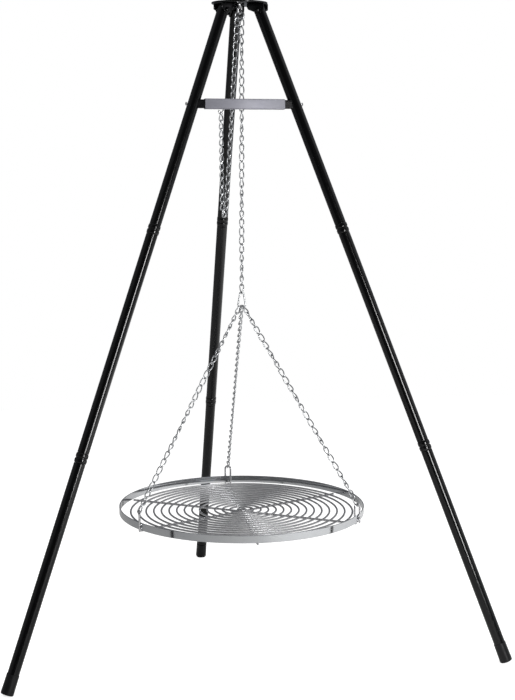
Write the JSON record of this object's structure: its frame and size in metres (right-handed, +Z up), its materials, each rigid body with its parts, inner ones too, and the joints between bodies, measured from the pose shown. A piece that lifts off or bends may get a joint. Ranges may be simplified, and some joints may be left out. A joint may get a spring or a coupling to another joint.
{
  "type": "tripod grill",
  "caption": "Tripod grill: tube legs under a top plate carry a round wire grate on chains, with a crossbar that holds the chain's slack.",
  "frame": {"origin": "on the floor, at the middle of the footprint's bounding box", "axes": "+Z up; +Y towards the rear leg; +X along the crossbar, to the right as seen from the front"},
  "size_m": [1.1792, 1.0252, 1.5433],
  "materials": {
    "leg_coat": "gloss",
    "collar_coat": "gloss",
    "plate_coat": "gloss",
    "bar_coat": "gloss",
    "foot_plastic": "matte",
    "cover_silver": "satin",
    "sleeve_silver": "satin",
    "fastener_zinc": "zinc plated",
    "chain_zinc": "bright zinc",
    "rod_steel": "bright",
    "rim_steel": "polished",
    "grid_steel": "bright"
  },
  "bodies": {
    "frame": {"leg_left_upper": "leg_coat", "leg_left_middle": "leg_coat", "leg_left_lower": "leg_coat", "collar_left_1": "collar_coat", "collar_left_2": "collar_coat", "foot_cap_left": "foot_plastic", "bracket_left": "plate_coat", "bracket_rivet_left": "fastener_zinc", "pivot_bolt_left": "plate_coat", "pivot_nut_left": "plate_coat", "bracket_rear": "plate_coat", "bracket_rivet_rear": "fastener_zinc", "pivot_bolt_rear": "plate_coat", "pivot_nut_rear": "plate_coat", "leg_right_upper": "leg_coat", "leg_right_middle": "leg_coat", "leg_right_lower": "leg_coat", "collar_right_1": "collar_coat", "collar_right_2": "collar_coat", "foot_cap_right": "foot_plastic", "bracket_right": "plate_coat", "bracket_rivet_right": "fastener_zinc", "pivot_bolt_right": "plate_coat", "pivot_nut_right": "plate_coat", "top_plate": "plate_coat", "top_cover": "cover_silver", "crossbar": "bar_coat", "crossbar_sleeve": "sleeve_silver", "crossbar_screw_left": "fastener_zinc", "crossbar_screw_right": "fastener_zinc", "eye_bolt": "fastener_zinc", "eye_bolt_nut": "fastener_zinc", "chain_catch": "fastener_zinc", "chain_end_hook": "fastener_zinc", "top_ring": "chain_zinc", "chain_saddle_link": "chain_zinc", "chain_tail": "chain_zinc"},
    "rear_leg": {"leg_rear_upper": "leg_coat", "leg_rear_middle": "leg_coat", "leg_rear_lower": "leg_coat", "collar_rear_1": "collar_coat", "collar_rear_2": "collar_coat", "foot_cap_rear": "foot_plastic"},
    "top_link": {"chain_top_link": "chain_zinc"},
    "hoist": {"main_chain": "chain_zinc"},
    "end_link": {"chain_end_link": "chain_zinc"},
    "pear": {"pear_link": "chain_zinc"},
    "grate": {"grate_rim": "rim_steel", "grate_grid": "grid_steel", "sling_chain_left": "chain_zinc", "sling_chain_rear": "chain_zinc", "sling_chain_right": "chain_zinc", "hanger_left": "rod_steel", "hanger_rear": "rod_steel", "hanger_right": "rod_steel"},
    "slack": {"slack_loop": "chain_zinc"}
  },
  "joints": [
    {"name": "chain_swing_a", "type": "hinge", "parent": "frame", "child": "top_link", "pos_m": [0.00693, -0.15692, 1.49462], "axis": [-0.788, 0.6157, 0], "range_deg": [-3, 3]},
    {"name": "chain_swing_b", "type": "hinge", "parent": "top_link", "child": "hoist", "pos_m": [0.00693, -0.15692, 1.47719], "axis": [0.6157, 0.788, 0], "range_deg": [-3, 3]},
    {"name": "grate_lift", "type": "slide", "parent": "hoist", "child": "end_link", "axis": [0, 0, 1], "range_m": [0, 0.2], "deforming": ["main_chain"]},
    {"name": "grate_turn", "type": "hinge", "parent": "end_link", "child": "pear", "pos_m": [0.00693, -0.15692, 0.8477], "axis": [0, 0, 1], "range_deg": [-20, 20]},
    {"name": "grate_tilt", "type": "hinge", "parent": "pear", "child": "grate", "pos_m": [0.00693, -0.15692, 0.8113], "axis": [1, 0, 0], "range_deg": [-3, 3]},
    {"name": "slack_loop_swing", "type": "hinge", "parent": "frame", "child": "slack", "pos_m": [-0.02538, -0.21169, 1.28748], "axis": [-0.7262, -0.5678, -0.3877], "range_deg": [-5, 5]},
    {"name": "rear_leg_fold", "type": "hinge", "parent": "frame", "child": "rear_leg", "pos_m": [0, -0.11578, 1.5115], "axis": [1, 0, 0], "range_deg": [-4.5, 0]}
  ]
}
